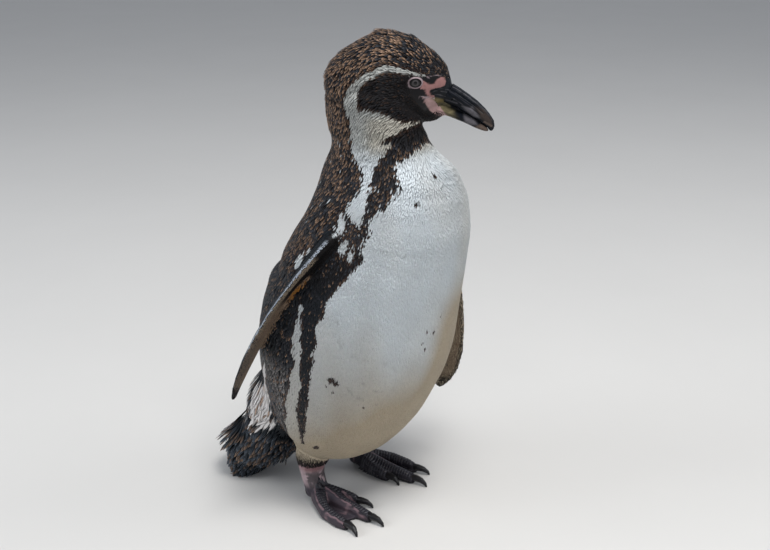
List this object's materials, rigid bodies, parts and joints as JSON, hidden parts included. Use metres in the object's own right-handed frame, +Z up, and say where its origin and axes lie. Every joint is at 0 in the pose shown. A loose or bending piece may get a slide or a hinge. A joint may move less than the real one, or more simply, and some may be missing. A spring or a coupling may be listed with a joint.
{
  "type": "humboldt penguin model",
  "caption": "Life-size still model of a Humboldt penguin standing upright with its head turned to its left, flippers hanging and tail tip on the floor.",
  "frame": {"origin": "on the floor, under the middle of the whole bird", "axes": "+Z up, -Y the way the body faces, +X to the bird's left"},
  "size_m": [0.2556, 0.2878, 0.5297],
  "materials": {
    "feathers": "short dense feathers: cream belly, brown-black back and band",
    "bill": "grooved black horn with a grey band and a pink fleshy base",
    "eye": "wet and glossy, dark brown with a black pupil",
    "foot_skin": "scaly skin, black with pink webs",
    "claw": "smooth black horn"
  },
  "bodies": {
    "root": {"trunk": "feathers", "neck": "feathers", "head": "feathers", "flipper_left": "feathers", "flipper_right": "feathers", "tail": "feathers", "bill_upper": "bill", "bill_lower": "bill", "eye_left": "eye", "eye_right": "eye", "leg_left": "foot_skin", "leg_right": "foot_skin", "foot_left": "foot_skin", "foot_right": "foot_skin", "claw_left_outer": "claw", "claw_left_middle": "claw", "claw_left_inner": "claw", "claw_right_outer": "claw", "claw_right_middle": "claw", "claw_right_inner": "claw"}
  },
  "joints": []
}
